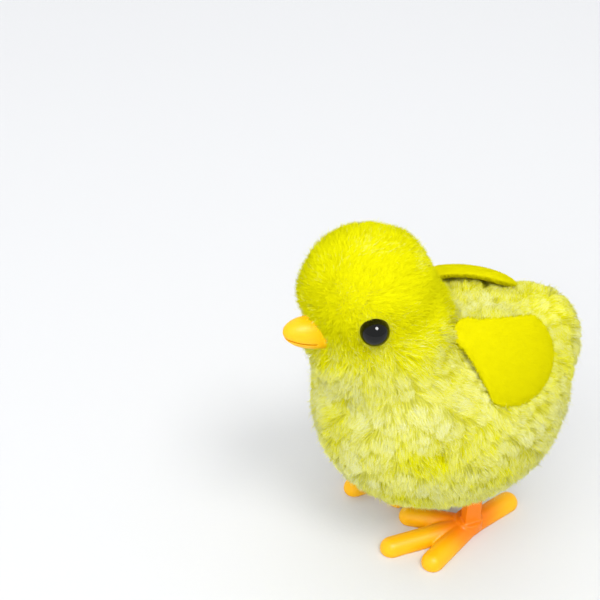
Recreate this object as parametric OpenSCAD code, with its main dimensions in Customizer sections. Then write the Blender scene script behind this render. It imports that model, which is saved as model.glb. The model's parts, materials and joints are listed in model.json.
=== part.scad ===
// Wind-up hopping chicken: a plush-covered shell around a clockwork motor that kicks a pair of feet.
// Millimetres. The chick faces -Y, its left side is +X, and z = 0 is the floor under its soles.

/* [Body] */
// Width of the fluffy body
body_w = 51; // [50:0.5:53]
// Length of the fluffy body
body_l = 60; // [58:0.5:64]
// Height of the body's middle above the floor
body_z = 35.4; // [35:0.2:36]
// Radius of the fluffy head
head_r = 13.9; // [13.7:0.1:14.5]
// Height of the head's middle above the floor
head_z = 70.2; // [69:0.2:72]
// How far the head's middle lies ahead of the frame's origin
head_ahead = 16.4; // [15:0.2:18]

/* [Cover and shell] */
// Depth of the loose pile outside the solid part of the cover
pile = 1.5; // [1:0.1:2]
// Thickness of the cover, backing cloth and packed pile together
cover_t = 2.2; // [1.8:0.1:2.4]
// Thickness of the plastic shell under the cover
shell_t = 1.6; // [1.4:0.1:1.8]
// Diameter of an eye bead
eye_d = 5.9; // [5.5:0.1:6.3]
// Diameter of the beak where it leaves the face
beak_d = 6.9; // [6.5:0.1:7.2]

/* [Feet] */
// Length of the middle toe from the leg
toe_mid = 23; // [20:0.5:24]
// Length of the outer toe
toe_out = 17.6; // [16.6:0.5:18.6]
// Length of the inner toe, which points at the other foot
toe_in = 17; // [14:0.5:17]
// Length of the toe that points back
toe_back = 15.8; // [14:0.2:16]
// Angle between the outer toe and the middle toe
toe_spread = 30; // [26:1:34]
// Width of a toe
toe_w = 5.4; // [4.8:0.1:5.6]
// Distance of each leg from the chick's middle
leg_x = 12.2; // [12.2:0.1:12.4]

/* [Clockwork] */
// Gear module
gear_m = 0.5; // [0.5]
// Teeth on the great wheel
great_n = 30; // [30]
// Teeth on the second wheel
second_n = 24; // [24]
// Teeth on each pinion
pinion_n = 10; // [10]
// Teeth on the ratchet wheel
ratchet_n = 12; // [12]
// Turns in the mainspring
spring_turns = 6; // [4:1:7]
// Lobes on the kicking cam
cam_lobes = 2; // [1:1:3]
// Radius to the tip of a cam lobe
cam_r = 4.4; // [4:0.1:4.4]
// Width of the winding key's grip
key_w = 13; // [11:0.5:15]

/* [Hidden] */
$fn = 72;
eps = 0.01;

// Frame: the origin is the middle of the bounding box, and the winding key and the tail make the
// chick's own middle lie off it
middle = [5.2, 0.9, 0];

// Colours
fur_yellow = [0.93, 0.92, 0.25];
wing_yellow = [0.95, 0.92, 0.05];
beak_orange = [1.0, 0.72, 0.08];
foot_orange = [1.0, 0.6, 0.05];
shell_cream = [0.93, 0.9, 0.8];
case_white = [0.9, 0.92, 0.94];
gear_white = [0.96, 0.95, 0.9];
steel = [0.7, 0.72, 0.75];

// Body, neck, head and tail, as centre points of the chick's own outline
body_y = 3.5;
body_at = [0, body_y, body_z];
head_at = [0, -head_ahead, head_z];
neck_at = [0, -1, body_z + 5.5];
tail_at = [0, 25.2, 47.2];
rump_at = [0, 12, 41];
neck_r = 21.5;
tail_r = 10.6;
rump_r = 17;

// Depths below the outside of the loose pile
cover_out = pile;
cover_in = pile + cover_t;
shell_out = cover_in + 0.2;
shell_in = shell_out + shell_t;
gap = 0.3;

// Motor case
case_x = 9.6;
case_front = -11;
case_back = 16.5;
case_low = 23.5;
case_top = 47;
case_t = 1.2;
cover_x = -case_x - case_t;
corner = 2.5;

// Arbor places in the side view, as [y, z]
great_at = [7, 36.6];
great_r = gear_m * great_n / 2;
second_r = gear_m * second_n / 2;
pinion_r = gear_m * pinion_n / 2;
mesh_tilt = 10;
second_at = great_at + (great_r + pinion_r) * [-cos(mesh_tilt), sin(mesh_tilt)];
cam_at = second_at + (second_r + pinion_r) * [0, -1];
pivot_at = [12.9, 27.1];
arbor_r = 1.5;
pin_r = 0.8;
pivot_r = 0.9;
fit = 0.05;

// Places of the wheels across the motor, as [low x, high x]
spring_x = [-8.7, -3.1];
ratchet_x = [-2.3, -1.0];
great_x = [-0.4, 1.4];
second_pinion_x = [-0.9, 2.0];
second_x = [2.0, 3.6];
cam_pinion_x = [1.6, 4.6];
cam_x = [4.6, 7.6];

// Winding key
key_hub_r = 2.6;
key_hub_in = -22.4;
key_hub_out = -28.6;
key_end = -34.6;
arbor_end = -27;
square_w = 2;

// Legs
foot_y = 7.5;
toe_r = toe_w / 2;
toe_rise = 0.9;
toe_turn = -2;
arm_in = case_x + case_t + gap;
arm_t = 2.2;
leg_in = leg_x - 1.5;
joint_at = [foot_y + 0.2, 17];
joint_screw_r = 0.7;
lap_x = arm_in + arm_t / 2;
lap_top = 19;
leg_w = 4.2;
slot_y = [3, 14.6];
slot_x = [leg_in - 0.5, leg_x + 2.1];
belly_x = 16.4;
belly_y = [-5, 19];

// Screws: shell bosses as [y, z]
boss_at = [[-15.4, 37], [20.8, 38.5], [-13.5, 60]];
case_screw_at = [[case_front + 2.6, case_low + 2.6], [case_front + 2.6, case_top - 2.6],
                 [case_back - 2.6, case_top - 2.6]];
belly_screw_at = [[0, belly_y[0] + 2.6], [0, belly_y[1] - 4.8]];

// ---- Helpers ----

// Moves the chick's own middle plane to its place in the part's frame
module placed() translate(middle) children();

// Keeps a shape on the left for side 1, or mirrors it to the right for side -1
module on_side(side) mirror([side < 0 ? 1 : 0, 0, 0]) children();

// A round bar along X between two places, at a side-view point
module bar_x(at, from, to, r)
  translate([from, at[0], at[1]])
    rotate([0, 90, 0])
      cylinder(h = to - from, r = r);

// A side-view outline given thickness between two places along X
module plate_x(from, to)
  translate([from, 0, 0])
    rotate([90, 0, 90])
      linear_extrude(to - from)
        children();

// A rectangle with rounded corners, drawn with true arcs
module round_rect(low, high, r) {
  for (x = [low[0] + r, high[0] - r], y = [low[1] + r, high[1] - r])
    translate([x, y])
      circle(r);
  translate([low[0] + r, low[1]])
    square([high[0] - low[0] - 2 * r, high[1] - low[1]]);
  translate([low[0], low[1] + r])
    square([high[0] - low[0], high[1] - low[1] - 2 * r]);
}

// An ellipsoid of revolution about the Y axis
module egg_y(radius, half_l, steps = 22)
  rotate([-90, 0, 0])
    rotate_extrude()
      polygon([for (i = [0:steps]) let (a = -90 + 180 * i / steps)
        [i == 0 || i == steps ? 0 : radius * cos(a), half_l * sin(a)]]);

// A cone between two balls' middles
module neck_cone(from, to, r1, r2) {
  run = to - from;
  translate(from)
    rotate([-atan2(run[1], run[2]), 0, 0])
      cylinder(h = norm(run), r1 = r1, r2 = r2);
}

// The chick's outline, taken in by a depth below the outside of its pile
module bird(depth) {
  translate(body_at)
    egg_y(body_w / 2 - depth, body_l / 2 - depth);
  neck_cone(neck_at, head_at, neck_r - depth, head_r - 0.4 - depth);
  translate(head_at)
    sphere(head_r - depth);
  neck_cone(rump_at, tail_at, rump_r - depth, tail_r - 0.4 - depth);
  translate(tail_at)
    sphere(tail_r - depth);
}

// The openings for the two legs to swing in
module leg_slots()
  for (side = [-1, 1])
    on_side(side)
      translate([slot_x[0], slot_y[0], 5])
        cube([slot_x[1] - slot_x[0], slot_y[1] - slot_y[0], 21]);

// The column that the belly plate is cut from
module belly_column(grow)
  translate([-belly_x - grow, belly_y[0] - grow, 0])
    cube([2 * (belly_x + grow), belly_y[1] - belly_y[0] + 2 * grow, body_z - 8]);

// The line of an eye, from the head's middle out through the cheek
eye_dir = [13.6, -3.8, -1.35] / norm([13.6, -3.8, -1.35]);
module on_eye_line(side)
  on_side(side)
    translate(head_at)
      rotate([0, acos(eye_dir[2]), atan2(eye_dir[1], eye_dir[0])])
        children();

// The beak's line, and the line of its peg, which runs straight in towards the head's middle
beak_at = [0, -head_ahead - 11.6, head_z - 7.1];
beak_lift = 15;
module on_beak_line()
  translate(beak_at)
    rotate([90 - beak_lift, 0, 0])
      children();

peg_drop = atan2(head_at[2] - beak_at[2], head_at[1] - beak_at[1]);
module on_peg_line()
  translate(head_at)
    rotate([90 + peg_drop, 0, 0])
      children();

// ---- Cover, shell and face ----

eye_hole_r = 1.4;
beak_peg_r = 1.6;
peg_in = 6.4;
eye_seat = 11;
module face_holes(eye_r, peg_r) {
  for (side = [-1, 1])
    on_eye_line(side)
      cylinder(h = 20, r = eye_r);
  on_peg_line()
    translate([0, 0, peg_in - 1])
      cylinder(h = 20, r = peg_r);
}

module plush_cover() color(fur_yellow) placed()
  difference() {
    bird(cover_out);
    bird(cover_in);
    leg_slots();
    face_holes(eye_hole_r, beak_peg_r + 0.1);
    for (side = [-1, 1])
      on_eye_line(side)
        translate([0, 0, eye_seat - 0.1])
          cylinder(h = 6, r = eye_d / 2 + 0.1);
    bar_x(great_at, -40, 0, key_hub_r + gap + 0.1);
  }

boss_r = 2.6;

// The hollow of a shell, less its screw bosses and the posts that hold the motor case
module shell_hollow()
  difference() {
    bird(shell_in);
    for (at = boss_at)
      bar_x(at, -30, 30, boss_r);
    for (y = [case_front + 4, case_back - 4], z = [case_low + 9, case_top - 8]) {
      bar_x([y, z], case_x + 0.1, 30, 1.5);
      bar_x([y, z], -30, cover_x - 0.1, 1.5);
    }
  }

module shell_half(side)
  difference() {
    intersection() {
      bird(shell_out);
      translate([side > 0 ? eps : -40 - eps, -40, 0])
        cube([40, 80, 90]);
    }
    shell_hollow();
    belly_column(0.15);
    face_holes(eye_hole_r - 0.2, beak_peg_r + 0.1);
  }

screw_r = 0.95;
head_screw_r = 1.9;

module left_shell() color(shell_cream) placed()
  difference() {
    shell_half(1);
    for (at = boss_at)
      bar_x(at, -1, 8, screw_r + fit);
  }

module right_shell() color(shell_cream) placed()
  difference() {
    shell_half(-1);
    for (at = boss_at) {
      bar_x(at, -9, 1, screw_r + 0.15);
      bar_x(at, -40, -6, head_screw_r + 0.15);
    }
    bar_x(great_at, -40, 0, key_hub_r + gap);
  }

// A pan-head screw with a crossed recess, standing on its head's underside and pointing down
module screw(length, r, head_r, head_h) {
  translate([0, 0, -length])
    cylinder(h = length, r = r);
  difference() {
    cylinder(h = head_h, r = head_r);
    for (turn = [0, 90])
      rotate(turn)
        translate([-head_r * 0.6, -0.2, head_h * 0.5])
          cube([head_r * 1.2, 0.4, head_h]);
  }
}

module shell_screws() color(steel) placed()
  for (at = boss_at)
    translate([-6 - fit, at[0], at[1]])
      rotate([0, -90, 0])
        screw(12.5, screw_r, head_screw_r, 1.2);

// Drop of a surface's underside below the body's middle, at a place along the body
function drop(depth, y) =
  (body_w / 2 - depth) * sqrt(1 - pow((y - body_y) / (body_l / 2 - depth), 2));

// How far each belly screw's head is let in, and how far its pad stands up inside
belly_recess = 1.4;
belly_pad = 3;
belly_head_r = 1.6;
module belly_plate() color(shell_cream) placed()
  difference() {
    union() {
      difference() {
        intersection() {
          bird(shell_out);
          belly_column(0);
        }
        bird(shell_in);
        leg_slots();
      }
      for (at = belly_screw_at)
        translate([at[0], at[1], body_z - drop(shell_out, at[1]) + 0.8])
          cylinder(h = belly_pad - 0.8, r = 2.6);
    }
    for (at = belly_screw_at)
      translate([at[0], at[1], 0]) {
        cylinder(h = 30, r = screw_r + 0.15);
        cylinder(h = body_z - drop(shell_out, at[1]) + belly_recess, r = belly_head_r + 0.15);
      }
  }

module belly_screws() color(steel) placed()
  for (at = belly_screw_at)
    translate([at[0], at[1], body_z - drop(shell_out, at[1]) + belly_recess - 0.02])
      rotate([180, 0, 0])
        screw(6.4, screw_r, belly_head_r, 0.7);

// Wing pad: a rounded tear drop cut from a thin ball, so that it curves with the flank, on the
// stitched root that ties it through the pile to the cover
wing_r = 10.3;
wing_reach = 15.3;
wing_tip_r = 3.35;
wing_tip_turn = 136;
wing_t = 1.7;
wing_curve = 30;

module wing_outline()
  hull() {
    circle(wing_r, $fn = 48);
    rotate(wing_tip_turn)
      translate([wing_reach - wing_tip_r, 0])
        circle(wing_tip_r, $fn = 32);
  }

module wing_pad()
  intersection() {
    difference() {
      translate([0, 0, -wing_curve])
        sphere(wing_curve + wing_t);
      translate([0, 0, -wing_curve])
        sphere(wing_curve);
    }
    translate([0, 0, -6])
      linear_extrude(12)
        wing_outline();
  }

// Places a wing against the flank: its middle, its tilt up, its turn towards the tail and the
// length of its root
module wing(side, at, tilt, turn, root) color(wing_yellow) placed()
  on_side(side)
    translate(at)
      rotate([0, 0, turn])
        rotate([0, 90 - tilt, 0])
          rotate([0, 0, 90]) {
            wing_pad();
            translate([0, 0, -root])
              cylinder(h = root + 0.5, r = 1.8);
          }

module left_wing() wing(1, [16.7, 11.3, 56.1], 27.7, 8.2, 4.6);

module right_wing() wing(-1, [12.4, 16, 57.5], 49, 35, 4.6);

// A glossy bead on a shank
module eye(side) color([0.03, 0.03, 0.03]) placed()
  on_eye_line(side) {
    difference() {
      translate([0, 0, 11.9])
        sphere(eye_d / 2);
      cylinder(h = eye_seat, r = eye_d);
    }
    translate([0, 0, 6.6])
      cylinder(h = 5.2, r = eye_hole_r - 0.3);
  }

module left_eye() eye(1);

module right_eye() eye(-1);

// How far out a washer of a given radius can lie in the round of the head
washer_t = 0.6;
function washer_at(r) = sqrt(pow(head_r - shell_in, 2) - r * r) - washer_t - 0.1;

module eye_washers() color(steel) placed()
  for (side = [-1, 1])
    on_eye_line(side)
      translate([0, 0, washer_at(2.4)])
        difference() {
          cylinder(h = washer_t, r = 2.4);
          translate([0, 0, -1])
            cylinder(h = 3, r = eye_hole_r - 0.3 + 0.02);
        }

// Short blunt beak with a mouth line, scooped to sit on the face, and its peg
beak_l = 7.7;
beak_sunk = 3.4;
module beak() color(beak_orange) placed() {
  difference() {
    on_beak_line()
      rotate_extrude()
        polygon(concat([[0, -beak_sunk], [beak_d / 2, -beak_sunk]], [for (i = [0:12])
          [i == 12 ? 0 : beak_d / 2 * pow(1 - pow(i / 12, 2.6), 0.62), beak_l * i / 12]]));
    on_beak_line()
      translate([-6, -1.3, 0.8])
        cube([12, 0.35, 10]);
    translate(head_at)
      sphere(head_r - cover_out - 0.8);
  }
  on_peg_line()
    translate([0, 0, peg_in])
      cylinder(h = 7, r = beak_peg_r);
}

module beak_washer() color(steel) placed()
  on_peg_line()
    translate([0, 0, washer_at(2.8)])
      difference() {
        cylinder(h = washer_t, r = 2.8);
        translate([0, 0, -1])
          cylinder(h = 3, r = beak_peg_r + 0.02);
      }

// ---- Motor case ----

module case_outline(inset)
  round_rect([case_front + inset, case_low + inset], [case_back - inset, case_top - inset],
             corner - inset * 0.6);

module case_bosses()
  for (at = case_screw_at)
    bar_x(at, -case_x + fit, case_x - case_t + eps, 1.5);

// Openings in the case's floor for the yoke's finger and the spring's hook
finger_y = [cam_at[0] - 1.3, cam_at[0] + 1.3];
module case_floor_slot()
  translate([cam_x[0] - 0.8, finger_y[0] - 0.8, case_low - 1])
    cube([4.6, finger_y[1] - finger_y[0] + 1.8, 3]);

// A post under the case that a belly screw bites into
module belly_boss(at) {
  low = body_z - drop(shell_out, at[1]) + belly_pad + 0.1;
  translate([at[0], at[1], low])
    cylinder(h = case_low + 0.5 - low, r = 2.1);
}

module motor_case() color(case_white) placed()
  difference() {
    union() {
      difference() {
        plate_x(-case_x + fit, case_x)
          case_outline(0);
        plate_x(-case_x - 1, case_x - case_t)
          case_outline(case_t);
      }
      case_bosses();
      for (at = belly_screw_at)
        belly_boss(at);
    }
    for (at = belly_screw_at)
      translate([at[0], at[1], 0])
        cylinder(h = case_low + 0.6, r = screw_r + fit);
    for (at = [second_at, cam_at])
      bar_x(at, case_x - 2, case_x + 1, pin_r + fit);
    bar_x(great_at, case_x - 2, case_x + 1, arbor_r + fit);
    bar_x(pivot_at, case_x - 2, case_x + 1, pivot_r + 0.02);
    for (at = case_screw_at)
      bar_x(at, -case_x - 1, -2, 0.7);
    case_floor_slot();
    translate([coil_x[1] - 0.8, pivot_at[0] - 8.7, case_low - 1])
      cube([1.6, 8.2, 3]);
  }

module motor_cover() color(case_white) placed()
  difference() {
    plate_x(cover_x, -case_x)
      case_outline(0);
    for (at = [second_at, cam_at])
      bar_x(at, cover_x - 1, -case_x + 1, pin_r + fit);
    bar_x(great_at, cover_x - 1, -case_x + 1, arbor_r + fit);
    bar_x(pivot_at, cover_x - 1, -case_x + 1, pivot_r + 0.02);
    for (at = case_screw_at)
      bar_x(at, cover_x - 1, -case_x + 1, 0.8);
  }

module case_screws() color(steel) placed()
  for (at = case_screw_at)
    translate([cover_x - 0.02, at[0], at[1]])
      rotate([0, -90, 0])
        screw(6, 0.65, 1.5, 0.8);

// ---- Clockwork ----

// A gear's outline: narrow straight-sided teeth, so that a pair runs with backlash
module gear_outline(teeth) {
  pitch_r = gear_m * teeth / 2;
  root_r = pitch_r - 1.1 * gear_m;
  tip_r = pitch_r + 0.8 * gear_m;
  step = 360 / teeth;
  wide = 0.27 * step;
  thin = 0.11 * step;
  polygon([for (i = [0:teeth - 1], p = [[root_r, -wide], [tip_r, -thin], [tip_r, thin], [root_r, wide]])
    p[0] * [cos(i * step + p[1]), sin(i * step + p[1])]]);
}

// A toothed wheel along X, turned by an angle about its own arbor
module gear_x(at, teeth, span, turn)
  translate([span[0], at[0], at[1]])
    rotate([90, 0, 90])
      linear_extrude(span[1] - span[0])
        rotate(turn)
          gear_outline(teeth);

module winding_arbor() color(steel) placed()
  difference() {
    bar_x(great_at, arbor_end, case_x - 0.4, arbor_r);
    for (turn = [0:90:270])
      translate([arbor_end - 1, great_at[0], great_at[1]])
        rotate([turn, 0, 0])
          translate([0, -3, square_w / 2])
            cube([7, 6, 3]);
  }

module winding_key() color(case_white) placed()
  difference() {
    union() {
      bar_x(great_at, key_hub_out, key_hub_in, key_hub_r);
      translate([key_end + 2.5, great_at[0], great_at[1]])
        for (side = [-1, 1])
          rotate([90 * side, 0, 0])
            key_wing();
    }
    translate([arbor_end - 0.02, great_at[0] - square_w / 2 - 0.02, great_at[1] - square_w / 2 - 0.02])
      cube([12, square_w + 0.04, square_w + 0.04]);
  }

// Half of the key's flat grip, with a rounded end
key_t = 2.4;
module key_wing() {
  length = key_w / 2;
  depth = key_hub_out - key_end;
  translate([-2.5, -key_t / 2, 0])
    cube([depth + 0.4, key_t, length - depth / 2]);
  translate([depth / 2 - 2.5, 0, length - depth / 2])
    rotate([90, 0, 0])
      translate([0, 0, -key_t / 2])
        cylinder(h = key_t, r = depth / 2);
}

// Flat spiral mainspring from its collar round the arbor to its outer hook
spring_in = 2.1;
spring_out = 7.1;
spring_t = 0.3;
module mainspring() color(steel) placed()
  plate_x(spring_x[0], spring_x[1])
    translate(great_at)
      polygon(concat(
        [for (i = [0:spring_steps]) spiral(i, 0)],
        [for (i = [spring_steps:-1:0]) spiral(i, spring_t)]));
spring_steps = spring_turns * 20;
function spiral(i, thick) =
  let (a = 18 * i, r = spring_in + thick + (spring_out - spring_in) * i / spring_steps)
  r * [cos(a), sin(a)];

// Great wheel, driven by the ratchet through the click on its face
click_arm = 5.9;
click_turn = 30;
click_post = great_at + click_arm * [cos(click_turn), sin(click_turn)];
module great_wheel() color(gear_white) placed() {
  difference() {
    gear_x(great_at, great_n, great_x, 180 - mesh_tilt);
    bar_x(great_at, great_x[0] - 1, great_x[1] + 1, arbor_r + fit);
    for (i = [0:4])
      rotate_about(great_at, 72 * i + 66)
        bar_x(great_at + [4.3, 0], great_x[0] - 1, great_x[1] + 1, 1.3);
  }
  bar_x(click_post, ratchet_x[0], great_x[0] + eps, 0.5);
}

// Turns a shape about an arbor's line, by an angle seen from the chick's left
module rotate_about(at, turn)
  translate([0, at[0], at[1]])
    rotate([turn, 0, 0])
      translate([0, -at[0], -at[1]])
        children();

ratchet_r = 3.7;
ratchet_root = 3.1;
module ratchet_wheel() color(steel) placed()
  difference() {
    plate_x(ratchet_x[0], ratchet_x[1])
      translate(great_at)
        polygon([for (i = [0:ratchet_n - 1], p = [[ratchet_root, 0], [ratchet_r, 2]])
          p[0] * [cos(i * 360 / ratchet_n + p[1] + ratchet_turn),
                  sin(i * 360 / ratchet_n + p[1] + ratchet_turn)]]);
    bar_x(great_at, ratchet_x[0] - 1, ratchet_x[1] + 1, arbor_r - 0.01);
  }
ratchet_turn = 19.8;

// Click: a pawl on its post, its nose between two ratchet teeth
module click() color(steel) placed()
  difference() {
    plate_x(ratchet_x[0], ratchet_x[1] + 0.3)
      union() {
        translate(click_post)
          circle(0.95);
        translate(great_at)
          rotate(click_turn)
            polygon([[5.2, -0.6], [6.7, 0.5], [3.9, 3.1], [2.94, 3.21], [2.42, 2.62], [3.3, 2.5],
                     [4.15, 1.2]]);
      }
    bar_x(click_post, ratchet_x[0] - 1, ratchet_x[1] + 1, 0.5 + fit);
  }

// Second wheel: its pinion meets the great wheel, its wheel meets the cam's pinion
second_turn = -mesh_tilt + 180 / pinion_n;
module second_wheel() color(gear_white) placed()
  difference() {
    union() {
      gear_x(second_at, pinion_n, second_pinion_x, second_turn);
      gear_x(second_at, second_n, second_x, -90);
    }
    bar_x(second_at, second_pinion_x[0] - 1, second_x[1] + 1, pin_r - 0.01);
    for (i = [0:3])
      rotate_about(second_at, 90 * i + 45)
        bar_x(second_at + [4.1, 0], second_x[0] - 1, second_x[1] + 1, 1);
  }

module second_arbor() color(steel) placed()
  bar_x(second_at, cover_x + 0.2, case_x - 0.2, pin_r);

// Cam wheel: a pinion and a lobed cam moulded together
cam_base = 2.6;
lobe_r = 1.2;
module cam_wheel() color(gear_white) placed()
  difference() {
    union() {
      gear_x(cam_at, pinion_n, cam_pinion_x, 90 + 180 / pinion_n);
      bar_x(cam_at, cam_x[0], cam_x[1], cam_base);
      for (i = [0:cam_lobes - 1])
        rotate_about(cam_at, 360 * i / cam_lobes + 20)
          plate_x(cam_x[0], cam_x[1])
            translate(cam_at) {
              polygon([[0, -cam_base + 0.4], [cam_r - lobe_r, -lobe_r + 0.05],
                       [cam_r - lobe_r, lobe_r - 0.05], [0, cam_base - 0.4]]);
              translate([cam_r - lobe_r, 0])
                circle(lobe_r);
            }
    }
    bar_x(cam_at, cam_pinion_x[0] - 1, cam_x[1] + 1, pin_r - 0.01);
  }

module cam_arbor() color(steel) placed()
  bar_x(cam_at, cover_x + 0.2, case_x - 0.2, pin_r);

// ---- Legs ----

// Yoke: two arms outside the case, a bar under it, and a finger up to the cam
bar_y = [4.4, 8.2];
bar_z = [21, 23.2];
finger_low = 22;
module leg_yoke() color(gear_white) placed()
  difference() {
    union() {
      for (side = [-1, 1])
        on_side(side)
          plate_x(arm_in, arm_in + arm_t)
            yoke_arm();
      translate([-arm_in - 1, bar_y[0], bar_z[0]])
        cube([2 * arm_in + 2, bar_y[1] - bar_y[0], bar_z[1] - bar_z[0]]);
      translate([cam_x[0] + 0.2, finger_y[0], finger_low])
        cube([cam_x[1] - cam_x[0] - 0.4, bar_y[1] - finger_y[0], bar_z[1] - finger_low]);
      translate([cam_x[0] + 0.2, finger_y[0], finger_low])
        cube([cam_x[1] - cam_x[0] - 0.4, finger_y[1] - finger_y[0],
              cam_at[1] - cam_r - gap - finger_low]);
    }
    for (side = [-1, 1])
      on_side(side) {
        bar_x(pivot_at, arm_in - 1, arm_in + arm_t + 1, pivot_r + fit);
        translate([lap_x, foot_y - 5, 10])
          cube([3, 12, lap_top + 0.2 - 10]);
      }
    bar_x(joint_at, -20, 20, joint_screw_r + 0.02);
  }

module yoke_arm() {
  translate(pivot_at)
    circle(2.4);
  polygon([pivot_at + [2.3, -0.6], pivot_at + [-1.2, 2.1], [bar_y[0], bar_z[1]],
           [bar_y[0], bar_z[0]], [foot_y - 1.6, 16.4], [foot_y + 2.4, 16.4]]);
  translate([foot_y + 0.4, 16.4])
    circle(2);
}

module pivot_pin() color(steel) placed() {
  bar_x(pivot_at, -arm_in - arm_t - 0.5, arm_in + arm_t + 0.5, pivot_r);
  for (side = [-1, 1])
    on_side(side)
      bar_x(pivot_at, arm_in + arm_t + 0.2, arm_in + arm_t + 0.9, 1.6);
}

// Return spring: a coil round the pivot pin, one tail on the case's wall, one under the bar
wire_r = 0.25;
coil_r = 1.6;
coil_turns = 5;
coil_x = [-6.6, -2.2];
module return_spring() color(steel) placed() {
  translate([coil_x[0], pivot_at[0], pivot_at[1]])
    rotate([0, 90, 0])
      linear_extrude(height = coil_x[1] - coil_x[0], twist = -360 * coil_turns, slices = 80, $fn = 8)
        translate([coil_r, 0])
          circle(r = wire_r * 1.3, $fn = 8);
  translate([coil_x[0], pivot_at[0] + coil_r - 0.1, pivot_at[1] - 0.3])
    rotate([-3, 0, 0])
      cylinder(h = 4.2, r = wire_r);
  translate([coil_x[1], pivot_at[0] - 0.4, pivot_at[1] - coil_r])
    rotate([106, 0, 0])
      cylinder(h = 8.4, r = wire_r);
}

// A toe lying along -Y from just behind the leg: a round bar with a domed end
module toe(length, turn)
  rotate([90, 0, turn])
    rotate_extrude()
      polygon(concat([[0, -1], [toe_r, -1]], [for (i = [0:8])
        [i == 8 ? 0 : toe_r * cos(i * 11.25), length - toe_r + toe_r * sin(i * 11.25)]]));

module foot(side) color(foot_orange) placed()
  on_side(side) {
    difference() {
      translate([leg_x - 0.7, foot_y, toe_rise]) {
        toe(toe_mid, toe_turn);
        toe(toe_out, toe_turn + toe_spread);
        toe(toe_in, toe_turn - toe_spread - 3);
        toe(toe_back, toe_turn + 197);
        cylinder(h = toe_r + 0.4, r = toe_r + 0.6);
      }
      translate([-30, -40, -10])
        cube([80, 80, 10]);
    }
    difference() {
      union() {
        translate([lap_x + 0.02, foot_y - leg_w / 2 + 0.2, 13])
          cube([arm_in + arm_t - lap_x - 0.02, leg_w, lap_top - 13]);
        translate([leg_in, foot_y - leg_w / 2 + 0.2, 2])
          cube([arm_in + arm_t - leg_in, leg_w, 11.6]);
      }
      bar_x(joint_at, 0, 20, joint_screw_r + 0.05);
    }
  }

module left_foot() foot(1);

module right_foot() foot(-1);

module foot_screws() color(steel) placed()
  for (side = [-1, 1])
    on_side(side)
      translate([arm_in + arm_t + 0.02, joint_at[0], joint_at[1]])
        rotate([0, 90, 0])
          screw(2, joint_screw_r, 1.3, 0.6);

plush_cover();
left_shell();
right_shell();
belly_plate();
left_wing();
right_wing();
left_eye();
right_eye();
eye_washers();
beak();
beak_washer();
motor_case();
motor_cover();
case_screws();
shell_screws();
belly_screws();
winding_key();
winding_arbor();
mainspring();
great_wheel();
ratchet_wheel();
click();
second_wheel();
second_arbor();
cam_wheel();
cam_arbor();
leg_yoke();
pivot_pin();
return_spring();
left_foot();
right_foot();
foot_screws();
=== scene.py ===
"""Wind-up hopping chicken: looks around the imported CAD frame. Metres, +Z up, the chick faces -Y."""
import json
import math

import bpy
import numpy as np
from mathutils import Matrix, Vector, kdtree


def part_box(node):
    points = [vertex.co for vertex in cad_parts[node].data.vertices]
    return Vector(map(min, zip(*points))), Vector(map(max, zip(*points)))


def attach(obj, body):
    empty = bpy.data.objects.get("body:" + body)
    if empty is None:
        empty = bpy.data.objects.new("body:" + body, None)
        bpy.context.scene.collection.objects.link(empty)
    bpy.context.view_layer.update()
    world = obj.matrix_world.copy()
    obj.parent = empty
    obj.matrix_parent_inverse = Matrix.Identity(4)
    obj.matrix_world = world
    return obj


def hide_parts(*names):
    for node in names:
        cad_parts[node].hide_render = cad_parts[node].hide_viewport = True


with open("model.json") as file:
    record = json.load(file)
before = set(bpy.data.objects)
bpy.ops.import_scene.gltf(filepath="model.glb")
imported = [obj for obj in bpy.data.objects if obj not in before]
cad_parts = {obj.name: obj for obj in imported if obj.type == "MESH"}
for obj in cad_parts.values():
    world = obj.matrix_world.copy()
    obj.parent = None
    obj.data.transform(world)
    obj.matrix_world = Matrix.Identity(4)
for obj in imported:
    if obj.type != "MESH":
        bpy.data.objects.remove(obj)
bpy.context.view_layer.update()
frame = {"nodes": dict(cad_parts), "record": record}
NODES = frame["nodes"]
MM = 0.001
SEED = 20

# ---- Small helpers on rows of vectors ----


def unit(vectors):
    return vectors / np.linalg.norm(vectors, axis=-1, keepdims=True)


def across(vectors, normals):
    """The part of each vector that lies in its surface."""
    return vectors - normals * np.sum(vectors * normals, axis=1, keepdims=True)


def box_middle(node):
    """Middle of a CAD node's box, in millimetres."""
    return np.array(sum((Vector(corner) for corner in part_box(node)), Vector())) / 2 / MM


def read(items, field, width, kind):
    """One field of every item in a mesh's list, as rows."""
    values = np.empty(len(items) * width, dtype=kind)
    items.foreach_get(field, values)
    return values.reshape(-1, width)


def smooth_faces(mesh):
    mesh.polygons.foreach_set("use_smooth", np.ones(len(mesh.polygons), dtype=bool))


# ---- Places, worked out from the frame, in millimetres ----

cover_low, cover_high = (np.array(corner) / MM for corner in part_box("plush_cover"))
# How far the pile's outline lies past the CAD cover.
PILE = 1.5
MIDDLE = (cover_low[0] + cover_high[0]) / 2
BODY_R = (cover_high[0] - cover_low[0]) / 2 + PILE
BODY_HALF_L = 30.0
HEAD_R = 13.9
HEAD = np.array([MIDDLE, cover_low[1] + HEAD_R - PILE, cover_high[2] - HEAD_R + PILE])
TAIL_R = 10.6
TAIL = np.array([MIDDLE, cover_high[1] - TAIL_R + PILE, HEAD[2] - 23.0])
BODY = np.array([MIDDLE, HEAD[1] + 19.9, cover_low[2] + BODY_R - PILE])
# The skin is blown out from here.
HEART = BODY + [0, -6.0, 13.0]
EYE_DEPTH = 11.9
EYES = [HEAD + unit(box_middle(node) - HEAD) * EYE_DEPTH for node in ("left_eye", "right_eye")]
BEAK = np.array([MIDDLE, HEAD[1] - 11.6, HEAD[2] - 7.1])
KEY = box_middle("winding_key")
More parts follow.
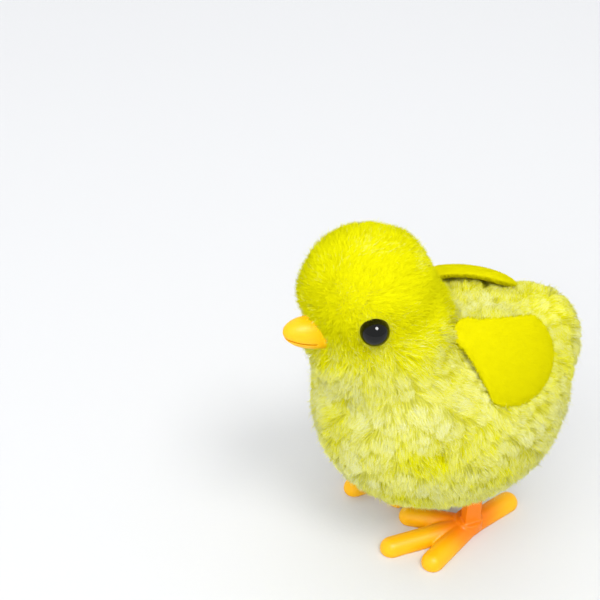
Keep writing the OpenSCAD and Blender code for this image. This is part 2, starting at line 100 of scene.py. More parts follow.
# The middles of the soles, left and then right.
LEGS = [np.array(mount["pos_m"]) / MM for mount in frame["record"]["mounts"]]

# Lumps that are blended into the body in this order: centre, radii, and how softly each joins on.
LUMPS = [
    (BODY + [0, -13.5, 10.6], [17.2, 10.8, 18.7], 7.0),
    (HEAD + [0, 3.0, -10.0], [13.2, 13.2, 13.0], 5.0),
    (HEAD, [11.7, 11.7, 12.1], 3.0),
    (TAIL + [0, -7.5, -3.0], [12.5, 10.0, 10.0], 7.0),
    (TAIL + [0, 1.0, 0.3], [8.6, 6.9, 7.7], 4.0),
]
# The small lump that carries each wing: how far inside the pad it lies, its radius and its blend.
MOUND_DEPTH, MOUND_R, MOUND_BLEND = 9.0, 6.5, 4.0
# Each wing adds its underside's points and its outward direction. The pile is cut short under it.
PADS = []

# ---- Numbers and sizes of the pile and the wings, in millimetres and degrees ----

PILE_COUNT = 300000
PILE_PIECES = 14
TUFT_COUNT = 2600
FUZZ_COUNT = 22000
NAP_COUNT = 22000
HAIR_WIDTH = 0.13
FUZZ_WIDTH = 0.075
NAP_WIDTH = 0.15
HAIR_LENGTH = 4.5
# Where a hair's points lie from root to tip, and how wide its two rings are for its width.
LEVELS = (0.0, 0.76, 1.0)
TAPER = (1.0, 0.8)
HAIR_SIDES = 3
HAIR_POINTS = HAIR_SIDES * len(TAPER) + 1
BANDS = len(LEVELS) - 1
TONES = 4
# Radii with no roots round the beak, the eyes and the key, and with no tips round the face's pieces.
BEAK_BALD, EYE_BALD, KEY_BALD = 3.3, 3.2, 3.2
FACE_CLEAR = 3.5
# Half the width and half the depth of the way of a leg, and how far it lies behind the sole's middle.
LEG_WAY = (3.0, 6.0)
LEG_BACK = 2.0
# Heights below which that way is kept free of roots and of tips.
ROOTS_BELOW, TIPS_BELOW = 20, 18
# Tips that come closer to a pad than this, or through it, are cut.
PAD_GAP = 0.2
# A wing pad: radius and reach of its outline, its narrow end, its thickness and its curve.
WING_R = 10.3
WING_REACH = 15.3
WING_TIP_R = 3.35
WING_TIP_TURN = 136
WING_T = 1.7
WING_CURVE = 30.0
WING_STEPS = 120
WING_RINGS = 14
WING_ROOT = 4.6
STEM_R = 1.8
STEM_SIDES = 24
BEAD_R = 3.1

# ---- Materials ----


def new_material(name, colour, roughness, **sockets):
    """A Principled material with plain values set on the shader's own sockets."""
    mat = bpy.data.materials.new(name)
    mat.use_nodes = True
    shader = mat.node_tree.nodes["Principled BSDF"]
    shader.inputs["Base Color"].default_value = (*colour, 1.0)
    shader.inputs["Roughness"].default_value = roughness
    for socket, value in sockets.items():
        shader.inputs[socket.replace("_", " ")].default_value = value
    mat.diffuse_color = (*colour, 1.0)
    return mat


def add_grain(mat, scale, height, distance, detail=3.0, rough_span=None):
    """Fine noise that bumps a surface and varies its roughness a little."""
    tree = mat.node_tree
    shader = tree.nodes["Principled BSDF"]
    place = tree.nodes.new("ShaderNodeTexCoord")
    noise = tree.nodes.new("ShaderNodeTexNoise")
    noise.inputs["Scale"].default_value = scale
    noise.inputs["Detail"].default_value = detail
    tree.links.new(place.outputs["Object"], noise.inputs["Vector"])
    bump = tree.nodes.new("ShaderNodeBump")
    bump.inputs["Strength"].default_value = height
    bump.inputs["Distance"].default_value = distance
    tree.links.new(noise.outputs["Fac"], bump.inputs["Height"])
    tree.links.new(bump.outputs["Normal"], shader.inputs["Normal"])
    if rough_span:
        span = tree.nodes.new("ShaderNodeMapRange")
        span.inputs["To Min"].default_value = rough_span[0]
        span.inputs["To Max"].default_value = rough_span[1]
        tree.links.new(noise.outputs["Fac"], span.inputs["Value"])
        tree.links.new(span.outputs["Result"], shader.inputs["Roughness"])
    return mat


# ---- Smooth body surface ----


def ellipsoid(points, centre, radii):
    """Signed distance to an ellipsoid, close enough near its surface."""
    scaled = (points - centre) / radii
    return (np.linalg.norm(scaled, axis=-1) - 1.0) * float(np.min(radii))


def smooth_min(a, b, blend):
    """The lower of two distances, rounded where they meet."""
    h = np.clip(0.5 + 0.5 * (b - a) / blend, 0.0, 1.0)
    return b + (a - b) * h - blend * h * (1.0 - h)


def bird(points):
    """Signed distance to the cloth under the pile: body, chest, neck, head, rump, tail and wing roots."""
    d = ellipsoid(points, BODY, np.array([BODY_R - 3.8, BODY_HALF_L - 3.8, BODY_R - 2.9]))
    for centre, radii, blend in LUMPS:
        d = smooth_min(d, ellipsoid(points, centre, np.array(radii)), blend)
    for inner, out in PADS:
        mound = ellipsoid(points, inner.mean(axis=0) - out * MOUND_DEPTH, np.array([MOUND_R] * 3))
        d = smooth_min(d, mound, MOUND_BLEND)
    return d


def slope(field, points, step=0.05):
    """Unit outward direction of a distance field at some points."""
    rises = [field(points + step * axis) - field(points - step * axis) for axis in np.eye(3)]
    return unit(np.stack(rises, axis=-1))


def blown_out(rays):
    """Where rays from the heart leave the bird: stepped out coarsely, then halved down."""
    reach = np.linspace(5.0, 62.0, 115)
    far = np.full(len(rays), reach[0])
    for r in reach:
        inside = bird(HEART + rays * r) < 0
        far[inside] = r
    low, high = far, far + (reach[1] - reach[0])
    for _ in range(14):
        mid = (low + high) / 2
        inside = bird(HEART + rays * mid[:, None]) < 0
        low = np.where(inside, mid, low)
        high = np.where(inside, high, mid)
    return HEART + rays * low[:, None]


def evened(points, edges):
    """The same points spread more evenly, set back onto the bird after each round."""
    degree = np.bincount(edges.ravel(), minlength=len(points))[:, None]
    for _ in range(12):
        total = np.zeros_like(points)
        np.add.at(total, edges[:, 0], points[edges[:, 1]])
        np.add.at(total, edges[:, 1], points[edges[:, 0]])
        points = 0.5 * points + 0.5 * total / degree
        points -= slope(bird, points) * bird(points)[:, None]
    return points


def skin_mesh(name, subdivisions):
    """A closed skin on the bird: an icosphere blown out from the heart until it meets the cloth."""
    bpy.ops.mesh.primitive_ico_sphere_add(subdivisions=subdivisions, radius=1.0)
    skin = bpy.context.object
    skin.name = skin.data.name = name
    rays = unit(read(skin.data.vertices, "co", 3, float))
    points = evened(blown_out(rays), read(skin.data.edges, "vertices", 2, np.int64))
    skin.data.vertices.foreach_set("co", (points * MM).ravel())
    smooth_faces(skin.data)
    skin.data.update()
    return skin, points


# ---- Pile: tapered hairs in tufts ----


def waves(points, size, seed, count=7):
    """A smooth wandering field, mostly between -1 and 1, made of a few crossed sine waves."""
    rng = np.random.RandomState(seed)
    total = np.zeros(len(points))
    for _ in range(count):
        direction = rng.normal(size=3)
        direction /= np.linalg.norm(direction)
        bend = 2 * math.pi / (size * rng.uniform(0.7, 1.5))
        total += np.sin(points @ direction * bend + rng.uniform(0, 2 * math.pi))
    return total / math.sqrt(count) / 1.3


def scatter(points, faces, count, rng):
    """Random places spread evenly over a mesh's surface."""
    a, b, c = (points[faces[:, i]] for i in range(3))
    area = np.linalg.norm(np.cross(b - a, c - a), axis=1)
    pick = rng.choice(len(faces), size=count, p=area / area.sum())
    u, v = rng.uniform(size=(2, count))
    over = u + v > 1
    u[over], v[over] = 1 - u[over], 1 - v[over]
    return a[pick] + (b - a)[pick] * u[:, None] + (c - a)[pick] * v[:, None]


def nearest(places, centres):
    """Index of the nearest centre to each place."""
    tree = kdtree.KDTree(len(centres))
    for i, centre in enumerate(centres):
        tree.insert(centre, i)
    tree.balance()
    return np.array([tree.find(p)[1] for p in places])


def head_share(points, below, rise):
    """0 on the body and 1 on the head, rising from a height below the head's middle."""
    return np.clip((points[:, 2] - (HEAD[2] - below)) / rise, 0, 1)


def comb_direction(roots):
    """The way the pile lies: down and back on the body, up and back over the head."""
    body_flow = np.array([0.0, 0.35, -0.7])
    head_flow = np.array([0.0, 0.75, 0.35])
    share = head_share(roots, 13, 12)[:, None]
    flow = body_flow * (1 - share) + head_flow * share
    stray = np.stack([waves(roots, 7.0, SEED + k) for k in range(3)], axis=1)
    return flow + (0.8 - 0.45 * share) * stray


def face_trim(roots):
    """Share of full length: the pile is clipped short round the beak and the eyes."""
    keep = np.ones(len(roots))
    for at, bare, full in [(BEAK, 3.6, 6.2)] + [(eye, 3.6, 7.5) for eye in EYES]:
        away = np.linalg.norm(roots - at, axis=1)
        keep = np.minimum(keep, 0.22 + 0.78 * np.clip((away - bare) / (full - bare), 0, 1))
    return keep


def in_leg_way(points, leg, ceiling):
    """True for points in the box that a leg swings through, below a height."""
    beside = np.abs(points[:, 0] - leg[0])
    ahead = np.abs(points[:, 1] - leg[1] - LEG_BACK)
    return (beside < LEG_WAY[0]) & (ahead < LEG_WAY[1]) & (points[:, 2] < ceiling)


def bald(roots):
    """True where no hair grows: under the beak, the eyes and the key, and round the legs."""
    bare = np.linalg.norm(roots - BEAK, axis=1) < BEAK_BALD
    for eye in EYES:
        bare |= np.linalg.norm(roots - eye, axis=1) < EYE_BALD
    off_axis = np.hypot(roots[:, 1] - KEY[1], roots[:, 2] - KEY[2])
    bare |= (off_axis < KEY_BALD) & (roots[:, 0] < MIDDLE)
    for leg in LEGS:
        bare |= in_leg_way(roots, leg, ROOTS_BELOW)
    return bare


def hair_lengths(roots, normals, share, stand, rng):
    """Shorter on the head and underneath, and clipped round the face."""
    length = HAIR_LENGTH - 1.0 * share + 0.5 * waves(roots, 9.0, SEED + 5)
    length *= 1 - 0.25 * np.clip(-normals[:, 2] - 0.2, 0, 1)
    length *= rng.uniform(0.72, 1.12, len(roots)) * face_trim(roots) * stand
    return length


def combed_tips(roots, normals, length, share, centres, owner, loose, rng):
    """Hair ends: each hair leans the way of the comb, then is drawn to the tip of its tuft."""
    flow = across(comb_direction(roots), normals)
    tuft_flow = across(comb_direction(centres)[owner], normals)
    lean = unit(normals + 0.35 * flow + 0.35 * tuft_flow + 0.3 * loose * rng.normal(size=roots.shape))
    tuft_tip = centres[owner] + slope(bird, centres)[owner] * 4.0 + tuft_flow * 1.6
    pull = (0.52 - 0.36 * share + 0.1 * rng.uniform(size=len(roots)))[:, None]
    pull *= (face_trim(roots) ** 2)[:, None] / max(1.0, loose)
    tip = roots + lean * length[:, None]
    tip = tip + (tuft_tip - tip) * pull
    tip[:, 2] -= 0.12 * length * (1 - share)
    return tip


def cut_under_wings(roots, tip, length):
    """Shortens, in place, the hairs that would reach a wing pad from below.

    Hairs rooted ahead of a pad and above it keep their length and lie over its rim."""
    for inner, out in PADS:
        centre = inner.mean(axis=0)
        close = np.flatnonzero(np.linalg.norm(tip - centre, axis=1) < WING_REACH + 5)
        index = nearest(tip[close], inner)
        away = tip[close] - inner[index]
        above = away @ out
        beside = np.linalg.norm(away - above[:, None] * out, axis=1)
        over = (above > -PAD_GAP) & (beside < 1.0)
        upstream = (roots[close] - centre) @ np.array([0.0, -0.6, 0.8]) > 4.0
        at_rim = index > 9 * WING_STEPS
        over &= ~(upstream & at_rim)
        close, above = close[over], above[over]
        hair = tip[close] - roots[close]
        cut = np.clip((above + PAD_GAP) / np.maximum(hair @ out, 0.5), 0, 0.85)
        tip[close] -= hair * cut[:, None]
        length[close] *= 1 - cut


def part_at_legs(tip):
    """Moves, in place, the tips that hang in a leg's way out to its sides."""
    for leg in LEGS:
        crossed = in_leg_way(tip, leg, TIPS_BELOW)
        tip[crossed, 0] = leg[0] + np.sign(tip[crossed, 0] - leg[0]) * LEG_WAY[0]


def clear_of_face(tip):
    """Tips pushed out of the balls round the eyes and the beak."""
    for at in EYES + [BEAK]:
        away = tip - at
        dist = np.linalg.norm(away, axis=1, keepdims=True)
        tip = np.where(dist < FACE_CLEAR, at + away / np.maximum(dist, 0.1) * FACE_CLEAR, tip)
    return tip


def bowed_lines(roots, normals, length, tip, share, rng):
    """Points along each hair at LEVELS: it rises from the skin and bends over to its tip."""
    curl = rng.normal(size=roots.shape) * 0.45 * (1 - 0.5 * share)[:, None]
    middle = roots + normals * (0.6 * length)[:, None] + curl * face_trim(roots)[:, None]
    rows = [roots * (1 - t) ** 2 + middle * 2 * t * (1 - t) + tip * t * t for t in LEVELS]
    return np.stack(rows, axis=1)


def hair_tones(roots, centres, owner, share, rng):
    """Tone numbers from 0, strong, to TONES - 1, pale. A tuft shares its patch; head and back are strong."""
    patch = waves(centres, 12.0, SEED + 9) + 0.35 * rng.normal(size=len(centres))
    tone = 1.75 + 0.95 * patch[owner] + 0.75 * rng.normal(size=len(roots)) - 2.9 * share
    rear = np.clip((roots[:, 1] - BODY[1] - 2) / 14, 0, 1)
    high = np.clip((roots[:, 2] - BODY[2] - 4) / 10, 0, 1)
    return np.clip(np.rint(tone - 0.9 * (rear * high)), 0, TONES - 1).astype(int)


def grow_pile(points, faces, count, seed, stand=1.0, loose=1.0):
    """Hairs on the skin: their lines, normals, side vectors and tones.

    The hairs' length is multiplied by stand; a looser pile strays more and gathers less in tufts."""
    rng = np.random.RandomState(seed)
    roots = scatter(points, faces, count, rng)
    roots = roots[~bald(roots)]
    normals = slope(bird, roots)
    centres = scatter(points, faces, TUFT_COUNT, rng)
    owner = nearest(roots, centres)
    share = head_share(roots, 12, 10)
    length = hair_lengths(roots, normals, share, stand, rng)
    tip = combed_tips(roots, normals, length, share, centres, owner, loose, rng)
    cut_under_wings(roots, tip, length)
    part_at_legs(tip)
    tip = clear_of_face(tip)
    lines = bowed_lines(roots, normals, length, tip, share, rng)
    along = lines[:, -1] - lines[:, 0]
    side = unit(np.cross(along, normals + 0.8 * rng.normal(size=roots.shape)))
    tone = hair_tones(roots, centres, owner, share, rng)
    lift = unit(normals + 0.28 * rng.normal(size=roots.shape) + 0.2 * unit(along))
    return lines, lift, side, tone


def hair_points(lines, side, width):
    """The points of each hair: rings that narrow from the root, then the tip."""
    along = unit(lines[:, -1] - lines[:, 0])
    side = unit(across(side, along))
    up = np.cross(along, side)
    co = np.empty((len(lines), HAIR_POINTS, 3))
    for ring, taper in enumerate(TAPER):
        for corner in range(HAIR_SIDES):
            a = 2 * math.pi * corner / HAIR_SIDES
            spoke = side * math.cos(a) + up * math.sin(a)
            co[:, HAIR_SIDES * ring + corner] = lines[:, ring] + spoke * width * taper / 2
    co[:, -1] = lines[:, -1]
    return co


def hair_mesh(name, lines, lift, side, tone, materials, width):
    """One mesh of three-sided tapered hairs that casts no shadow. Its shading normals are the lift vectors.

    A face's colour comes from its hair's tone and its band, the lower band darker as painted shade. Without
    tones it is the first material's."""
    count = len(lines)
    co = hair_points(lines, side, width)
    shape, sizes, band = [], [], []
    for m in range(HAIR_SIDES):
        n = (m + 1) % HAIR_SIDES
        shape += [m, n, HAIR_SIDES + n, HAIR_SIDES + m]
        shape += [HAIR_SIDES + m, HAIR_SIDES + n, HAIR_POINTS - 1]
        sizes += [4, 3]
        band += [0, 1]
    loops = (np.arange(count)[:, None] * HAIR_POINTS + shape).ravel()
    sizes = np.tile(sizes, count)
    starts = np.concatenate([[0], np.cumsum(sizes)[:-1]])
    mesh = bpy.data.meshes.new(name)
    mesh.vertices.add(count * HAIR_POINTS)
    mesh.vertices.foreach_set("co", (co * MM).ravel())
    mesh.loops.add(len(loops))
    mesh.loops.foreach_set("vertex_index", loops)
    mesh.polygons.add(len(sizes))
    mesh.polygons.foreach_set("loop_start", starts)
    mesh.polygons.foreach_set("loop_total", sizes)
    for mat in materials:
        mesh.materials.append(mat)
    if tone is not None:
        mesh.polygons.foreach_set("material_index", (tone[:, None] * BANDS + np.array(band)).ravel())
    smooth_faces(mesh)
    mesh.update(calc_edges=True)
    mesh.normals_split_custom_set_from_vertices(np.repeat(lift, HAIR_POINTS, axis=0))
    hairs = bpy.data.objects.new(name, mesh)
    bpy.context.collection.objects.link(hairs)
    hairs.visible_shadow = False
    return hairs


def pile_materials():
    """Plain yellows for the pile: tones from strong to pale, each with a lower band darkened as painted
    shade among the hairs, which cast no shadow, and a paler tip.
    """
    # First the lower band, darkened as painted shade, then the tip.
    strong = [(0.90, 0.86, 0.001), (0.94, 0.91, 0.002)]
    pale = [(0.90, 0.89, 0.16), (0.94, 0.94, 0.44)]
    made = []
    for tone in range(TONES):
        t = tone / (TONES - 1)
        for band, (a, b) in enumerate(zip(strong, pale)):
            colour = [x + (y - x) * t for x, y in zip(a, b)]
            made.append(new_material(f"pile_{tone}_{band}", colour, 0.8, Specular_IOR_Level=0.02))
    return made


def plush():
    """The cloth under the pile and the pile itself, which together stand for the plush cover."""
    skin, points = skin_mesh("plush_cloth", 6)
    # The cloth is a deeper yellow than the pile as painted shade under the hairs, which cast no shadow.
    shaded_backing = new_material("plush_backing_shade", (0.72, 0.68, 0.01), 0.9, Sheen_Weight=0.3)
    skin.data.materials.append(add_grain(shaded_backing, 3000, 0.4, 0.0002))
    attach(skin, "chick")
    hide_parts("plush_cover")
    faces = read(skin.data.polygons, "vertices", 3, np.int64)
    materials = pile_materials()
    pile = grow_pile(points, faces, PILE_COUNT, SEED)
    by_height = np.argsort(pile[0][:, 0, 2])
    for k, part in enumerate(np.array_split(by_height, PILE_PIECES)):
        lines, lift, side, tone = (rows[part] for rows in pile)
        hairs = hair_mesh(f"plush_pile_{k + 1}", lines, lift, side, tone, materials, HAIR_WIDTH)
        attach(hairs, "chick")
    lines, lift, side, tone = grow_pile(points, faces, FUZZ_COUNT, SEED + 50, stand=1.22, loose=1.8)
    fuzz = hair_mesh("plush_fuzz", lines, lift, side, tone, materials, FUZZ_WIDTH)
    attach(fuzz, "chick")


# ---- Wings, eyes, beak and feet ----


def mesh_piece(name, points, faces, material):
    """A mesh object from points in millimetres."""
    mesh = bpy.data.meshes.new(name)
    mesh.from_pydata([tuple(p) for p in np.asarray(points) * MM], [], faces)
    smooth_faces(mesh)
    mesh.materials.append(material)
    mesh.update()
    piece = bpy.data.objects.new(name, mesh)
    bpy.context.collection.objects.link(piece)
    return piece


def turn_about(axis, degrees):
    """A turn about z or y, as a matrix."""
    c, s = math.cos(math.radians(degrees)), math.sin(math.radians(degrees))
    if axis == "z":
        return np.array([[c, -s, 0], [s, c, 0], [0, 0, 1]])
    return np.array([[c, 0, s], [0, 1, 0], [-s, 0, c]])


def wing_edge():
    """Outline of a wing pad, a tear drop, at equal angles round its wide end's middle."""
    tip_way = np.array([math.cos(math.radians(WING_TIP_TURN)), math.sin(math.radians(WING_TIP_TURN))])
    tip = (WING_REACH - WING_TIP_R) * tip_way
    edge = []
    for k in range(WING_STEPS):
        way = np.array([math.cos(2 * math.pi * k / WING_STEPS), math.sin(2 * math.pi * k / WING_STEPS)])
        reach = WING_R
        for r in np.linspace(0, WING_REACH, 300):
            p = way * r
            share = np.clip(p @ tip / (tip @ tip), 0, 1)
            if np.linalg.norm(p - tip * share) < WING_R + (WING_TIP_R - WING_R) * share:
                reach = r
        edge.append(way * reach)
    return np.array(edge)


def wing_points():
    """Points of a flat pad's upper side and lower side, each a hub and rings. The rim is in the upper."""
    edge = wing_edge()
    rings = np.sin(np.linspace(0, math.pi / 2, WING_RINGS + 1)[1:])
    upper, lower = [[0, 0, WING_T]], [[0, 0, 0]]
    for ring in rings:
        puff = (1 - ring ** 5) ** 0.5
        upper += [[*p, WING_T / 2 + puff * WING_T / 2] for p in edge * ring]
        lower += [[*p, WING_T / 2 - puff * WING_T / 2] for p in edge * ring]
    return upper, lower[:-WING_STEPS]


def wing_faces():
    """Faces for those points: a fan round each hub, and quads from ring to ring out to the rim."""
    lower_hub = WING_RINGS * WING_STEPS + 1
    faces = []
    for low, hub in ((False, 0), (True, lower_hub)):
        starts = [hub + 1 + k * WING_STEPS for k in range(WING_RINGS)]
        starts[-1] = lower_hub - WING_STEPS
        for i in range(WING_STEPS):
            j = (i + 1) % WING_STEPS
            ribbon = [[hub, starts[0] + i, starts[0] + j]]
            for near, far in zip(starts, starts[1:]):
                ribbon.append([near + i, far + i, far + j, near + j])
            faces += [face[::-1] if low else face for face in ribbon]
    return faces


def stem_rings():
    """Points round the two ends of the stem that a pad is stitched on by."""
    turns = np.arange(STEM_SIDES) * math.pi / (STEM_SIDES / 2)
    return [[STEM_R * math.cos(a), STEM_R * math.sin(a), z] for z in (0.3, -WING_ROOT) for a in turns]


def stem_faces(start):
    """Sides and ends of the stem, for two rings of points from a first index on."""
    last = start + 2 * STEM_SIDES - 1
    faces = []
    for i in range(STEM_SIDES):
        j = (i + 1) % STEM_SIDES
        faces.append([start + i, start + STEM_SIDES + i, start + STEM_SIDES + j, start + j])
    faces.append(list(range(start, start + STEM_SIDES)))
    faces.append(list(range(last, last - STEM_SIDES, -1)))
    return faces


def wing_nap(name, points, faces, material, seed):
    """Very short hairs on a pad's faces."""
    tris = []
    for face in faces:
        tris.append(face[:3])
        if len(face) == 4:
            tris.append([face[0], face[2], face[3]])
    tris = np.array(tris)
    rng = np.random.RandomState(seed)
    roots = scatter(points, tris, NAP_COUNT, rng)
    a, b, c = (points[tris[:, k]] for k in range(3))
    face_normals = unit(np.cross(b - a, c - a) + 1e-9)
    normals = face_normals[nearest(roots, (a + b + c) / 3)]
    length = rng.uniform(0.45, 0.8, len(roots))[:, None]
    drift = np.array([0.0, 0.35, -0.45])
    tip = roots + unit(normals + drift + 0.3 * rng.normal(size=roots.shape)) * length
    lines = np.stack([roots + (tip - roots) * t for t in LEVELS], axis=1)
    side = unit(np.cross(tip - roots, rng.normal(size=roots.shape)))
    lift = unit(normals + 0.08 * rng.normal(size=roots.shape))
    nap = hair_mesh(name, lines, lift, side, None, [material], NAP_WIDTH)
    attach(nap, "chick")


def wing(name, node, side, tilt, turn, velour, nap, seed):
    """A stuffed velour pad with a soft edge, on its stitched root, in the middle of its CAD node's box."""
    upper, lower = wing_points()
    points = np.array(upper + lower, dtype=float)
    points[:, 2] += np.sqrt(WING_CURVE ** 2 - points[:, 0] ** 2 - points[:, 1] ** 2) - WING_CURVE
    pad_count = len(points)
    pad_faces, root_faces = wing_faces(), stem_faces(pad_count)
    points = np.vstack([points, stem_rings()])
    spin = turn_about("z", turn) @ turn_about("y", 90 - tilt) @ turn_about("z", 90)
    points = points @ spin.T
    if side < 0:
        points[:, 0] *= -1
        pad_faces = [face[::-1] for face in pad_faces]
        root_faces = [face[::-1] for face in root_faces]
    low, high = (np.array(corner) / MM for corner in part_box(node))
    points += (low + high) / 2 - (points.min(axis=0) + points.max(axis=0)) / 2
    PADS.append((points[len(upper):pad_count], spin[:, 2] * [side, 1, 1]))
    pad = mesh_piece(name, points, pad_faces + root_faces, velour)
    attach(pad, "chick")
    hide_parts(node)
    wing_nap(name + "_nap", points, pad_faces, nap, seed)


def lathe(name, profile, centre, axis, steps, material):
    """A turned piece: (distance along the axis, radius) pairs spun about it."""
    first = unit(np.cross(axis, [0.0, 0.0, 1.0]))
    second = np.cross(axis, first)
    points, faces = [], []
    for along, radius in profile:
        for k in range(steps):
            a = 2 * math.pi * k / steps
            points.append(centre + axis * along + radius * (first * math.cos(a) + second * math.sin(a)))
    for r in range(len(profile) - 1):
        for k in range(steps):
            n = (k + 1) % steps
            faces.append([r * steps + k, r * steps + n, (r + 1) * steps + n, (r + 1) * steps + k])
    faces.append(list(range(steps))[::-1])
    faces.append([(len(profile) - 1) * steps + k for k in range(steps)])
    return mesh_piece(name, points, faces, material)


def eyes(material):
    """Glossy beads, each with a flat back and a shank."""
    bead_turns = np.linspace(0, math.radians(106.9), 26)
    dome = [(BEAD_R * math.cos(a), max(BEAD_R * math.sin(a), 0.01)) for a in bead_turns]
    shank = [(-0.9, 1.2), (-0.95, 1.1), (-5.2, 1.1), (-5.3, 0.9)]
    for side, eye in zip(("left", "right"), EYES):
        bead = lathe(f"{side}_bead", dome + shank, eye, unit(eye - HEAD), 56, material)
        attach(bead, "chick")
        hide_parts(f"{side}_eye")


def moulded(name, node, body, voxel, rounds, material, grow=None):
    """A moulded plastic piece: the CAD solid with its edges and joins rounded as a mould leaves them.

    The beak grows back about its root by a small factor, because the rounding draws it in."""
    solid = NODES[node]
    mesh = solid.data.copy()
    mesh.name = name
    piece = bpy.data.objects.new(name, mesh)
    bpy.context.collection.objects.link(piece)
    piece.matrix_world = solid.matrix_world
    remesh = piece.modifiers.new("remesh", "REMESH")
    remesh.mode = "VOXEL"
    remesh.voxel_size = voxel * MM
    smooth = piece.modifiers.new("smooth", "SMOOTH")
    smooth.factor = 0.5
    smooth.iterations = rounds
    bpy.context.view_layer.objects.active = piece
    for modifier in ("remesh", "smooth"):
        with bpy.context.temp_override(object=piece):
            bpy.ops.object.modifier_apply(modifier=modifier)
    mesh = piece.data
    if grow:
        there, back = Matrix.Translation(Vector(BEAK * MM)), Matrix.Translation(Vector(-BEAK * MM))
        mesh.transform(there @ Matrix.Scale(grow, 4) @ back)
    mesh.materials.clear()
    mesh.materials.append(material)
    smooth_faces(mesh)
    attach(piece, body)
    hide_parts(node)


# ---- Materials of the other pieces ----


def tinted(mat, colour, spread, scale):
    """Slow drift of a material's colour by noise, for cast and moulded pieces."""
    tree = mat.node_tree
    place = tree.nodes.new("ShaderNodeTexCoord")
    noise = tree.nodes.new("ShaderNodeTexNoise")
    noise.inputs["Scale"].default_value = scale
    noise.inputs["Detail"].default_value = 2.0
    tree.links.new(place.outputs["Object"], noise.inputs["Vector"])
    ramp = tree.nodes.new("ShaderNodeValToRGB")
    ramp.color_ramp.elements[0].position = 0.3
    ramp.color_ramp.elements[1].position = 0.7
    ramp.color_ramp.elements[0].color = (*(c * (1 - spread) for c in colour), 1)
    ramp.color_ramp.elements[1].color = (*colour, 1)
    tree.links.new(noise.outputs["Fac"], ramp.inputs["Fac"])
    tree.links.new(ramp.outputs["Color"], tree.nodes["Principled BSDF"].inputs["Base Color"])
    return mat


def grained_plastic(name, colour, roughness, grain, **sockets):
    """Moulded plastic with a very fine grain."""
    mat = new_material(name, colour, roughness, **sockets)
    return add_grain(mat, 2500, grain, 0.0001, 4.0, (roughness * 0.85, roughness * 1.2))


def plastic(name, colour, roughness, grain=0.05):
    """Plain opaque plastic for the shells and the works."""
    return tinted(grained_plastic(name, colour, roughness, grain), colour, 0.06, 90)


def waxy_plastic(name, colour, roughness):
    """Bright plastic that lets a little light in, for the beak and the feet."""
    mat = grained_plastic(name, colour, roughness, 0.06, Specular_IOR_Level=0.3, Subsurface_Weight=0.1,
                          Subsurface_Scale=0.002)
    mat.node_tree.nodes["Principled BSDF"].inputs["Subsurface Radius"].default_value = (1, 0.4, 0.05)
    return mat


def painted_shade_towards(mat, colour, painted_shade, centre, reach):
    """Painted shade: colour that deepens towards a place, for the shade that the belly casts round each leg.
    """
    tree = mat.node_tree
    place = tree.nodes.new("ShaderNodeTexCoord")
    shift = tree.nodes.new("ShaderNodeMapping")
    shift.inputs["Scale"].default_value = (1 / reach,) * 3
    shift.inputs["Location"].default_value = [-c / reach for c in centre]
    ball = tree.nodes.new("ShaderNodeTexGradient")
    ball.gradient_type = "SPHERICAL"
    ramp = tree.nodes.new("ShaderNodeValToRGB")
    ramp.color_ramp.interpolation = "EASE"
    ramp.color_ramp.elements[0].position = 0.1
    ramp.color_ramp.elements[1].position = 0.72
    ramp.color_ramp.elements[0].color = (*colour, 1)
    ramp.color_ramp.elements[1].color = (*painted_shade, 1)
    tree.links.new(place.outputs["Object"], shift.inputs["Vector"])
    tree.links.new(shift.outputs["Vector"], ball.inputs["Vector"])
    tree.links.new(ball.outputs["Fac"], ramp.inputs["Fac"])
    tree.links.new(ramp.outputs["Color"], tree.nodes["Principled BSDF"].inputs["Base Color"])
    return mat


def drawn_steel(name):
    """Drawn or cut spring steel: fine scratches along one way."""
    mat = new_material(name, (0.62, 0.63, 0.65), 0.3, Metallic=1.0, Anisotropic=0.4)
    tree = mat.node_tree
    place = tree.nodes.new("ShaderNodeTexCoord")
    stretch = tree.nodes.new("ShaderNodeMapping")
    stretch.inputs["Scale"].default_value = (400, 6000, 6000)
    noise = tree.nodes.new("ShaderNodeTexNoise")
    noise.inputs["Scale"].default_value = 1.0
    tree.links.new(place.outputs["Object"], stretch.inputs["Vector"])
    tree.links.new(stretch.outputs["Vector"], noise.inputs["Vector"])
    span = tree.nodes.new("ShaderNodeMapRange")
    span.inputs["To Min"].default_value = 0.22
    span.inputs["To Max"].default_value = 0.42
    tree.links.new(noise.outputs["Fac"], span.inputs["Value"])
    tree.links.new(span.outputs["Result"], tree.nodes["Principled BSDF"].inputs["Roughness"])
    bump = tree.nodes.new("ShaderNodeBump")
    bump.inputs["Strength"].default_value = 0.12
    bump.inputs["Distance"].default_value = 0.00005
    tree.links.new(noise.outputs["Fac"], bump.inputs["Height"])
    tree.links.new(bump.outputs["Normal"], tree.nodes["Principled BSDF"].inputs["Normal"])
    return mat


# ---- Each piece with its finish ----


def dress_wings():
    yellow = (0.84, 0.775, 0.001)
    velour = new_material("velour_yellow", yellow, 0.85, Specular_IOR_Level=0.05)
    tinted(velour, yellow, 0.06, 300)
    add_grain(velour, 5000, 0.35, 0.0002)
    nap = new_material("wing_nap", yellow, 0.85, Specular_IOR_Level=0.02)
    wing("left_wing_pad", "left_wing", 1, 27.7, 8.2, velour, nap, SEED + 1)
    wing("right_wing_pad", "right_wing", -1, 49.0, 35.0, velour, nap, SEED + 2)


def dress_face():
    gloss = new_material("eye_gloss", (0.002, 0.002, 0.002), 0.06, Specular_IOR_Level=0.32)
    eyes(add_grain(gloss, 1500, 0.01, 0.00005, 2.0, (0.05, 0.09)))
    orange = (1.0, 0.53, 0.003)
    beak = tinted(waxy_plastic("beak_orange", orange, 0.42), orange, 0.05, 90)
    moulded("beak_moulded", "beak", "chick", 0.12, 4, beak, grow=1.05)


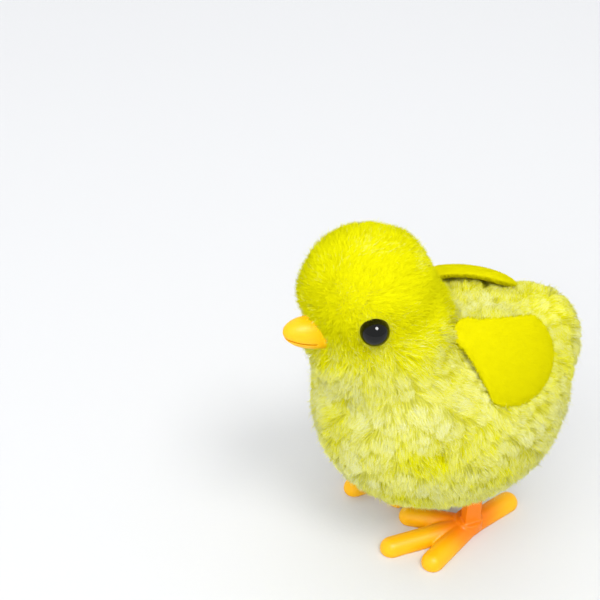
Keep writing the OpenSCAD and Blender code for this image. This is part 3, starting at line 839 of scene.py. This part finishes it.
def dress_feet():
    # The deep red-orange round each leg is painted shade from the belly above.
    bright, painted_shade = (1.0, 0.50, 0.002), (0.9, 0.22, 0.001)
    for side, sole in zip(("left", "right"), LEGS):
        orange = waxy_plastic(f"foot_orange_{side}", bright, 0.40)
        painted_shade_towards(orange, bright, painted_shade, sole * MM + [0, 0, 0.006], 0.015)
        moulded(f"{side}_foot_moulded", f"{side}_foot", "legs", 0.25, 10, orange)


def dress_works():
    """A finish for every CAD node that stays, and a rounded edge on the key."""
    finish = {
        "shell_plastic": plastic("shell_cream", (0.82, 0.78, 0.62), 0.5),
        "case_plastic": plastic("case_white", (0.80, 0.82, 0.84), 0.3, 0.03),
        "gear_plastic": plastic("gear_white", (0.86, 0.84, 0.78), 0.45),
        "steel": drawn_steel("spring_steel"),
    }
    for part in frame["record"]["subparts"]:
        solid = NODES[part["node"]]
        if solid.hide_render or part["material_slot"] not in finish:
            continue
        for place in solid.material_slots:
            place.material = finish[part["material_slot"]]
    edge = NODES["winding_key"].modifiers.new("rounded", "BEVEL")
    edge.width = 0.35 * MM
    edge.segments = 3
    edge.harden_normals = False


# ---- Camera, light and floor, in metres ----

# Name, place, target, size, watts and colour.
LAMPS = [
    ("key_light", (0.42, 0.12, 0.85), (0, 0, 0.03), 0.32, 3.1, (1.0, 0.99, 0.97)),
    ("fill_light", (0.45, -0.6, 0.65), (0, 0, 0.03), 1.2, 5.4, (0.98, 0.99, 1.0)),
    ("back_light", (-0.7, 0.15, 0.6), (0, 0, 0.04), 1.6, 2.2, (1.0, 1.0, 1.0)),
    ("sparkle_light", (0.42, 0.0, 0.75), (0, 0, 0.06), 0.3, 7.0, (1.0, 1.0, 1.0)),
]


def aim(thing, way):
    """Points a camera or a lamp along a direction."""
    thing.rotation_mode = "QUATERNION"
    thing.rotation_quaternion = way.to_track_quat("-Z", "Y")


def photo_camera():
    cam = bpy.data.objects.new("camera", bpy.data.cameras.new("camera"))
    bpy.context.collection.objects.link(cam)
    bpy.context.scene.camera = cam
    cam.data.lens = 75.6
    cam.data.clip_start = 0.01
    cam.location = Vector((198.6, -109.1, 228.0)) * MM
    aim(cam, Vector((-0.7433, 0.3003, -0.5976)).normalized())


def paper_floor():
    bpy.ops.mesh.primitive_plane_add(size=3.0)
    floor = bpy.context.object
    floor.name = "floor"
    paper = new_material("floor_paper", (0.71, 0.71, 0.715), 0.9)
    floor.data.materials.append(add_grain(paper, 900, 0.15, 0.0002))


def lamp(name, place, target, size, power, colour):
    """A round lamp. Only the sparkle light shows in glossy surfaces, and it lights nothing else."""
    light = bpy.data.objects.new(name, bpy.data.lights.new(name, "AREA"))
    bpy.context.collection.objects.link(light)
    light.data.shape = "DISK"
    light.data.size = size
    light.data.energy = power
    light.data.color = colour
    light.location = place
    aim(light, Vector(target) - Vector(place))
    light.visible_glossy = name == "sparkle_light"
    light.visible_diffuse = name != "sparkle_light"


def studio_air():
    """Soft bluish light from all round."""
    world = bpy.data.worlds.new("studio")
    bpy.context.scene.world = world
    world.use_nodes = True
    background = world.node_tree.nodes["Background"]
    background.inputs["Color"].default_value = (0.95, 0.97, 1.0, 1)
    background.inputs["Strength"].default_value = 0.78
    bpy.context.scene.view_settings.view_transform = "Standard"


photo_camera()
paper_floor()
for row in LAMPS:
    lamp(*row)
studio_air()
dress_wings()
dress_face()
dress_feet()
dress_works()
plush()
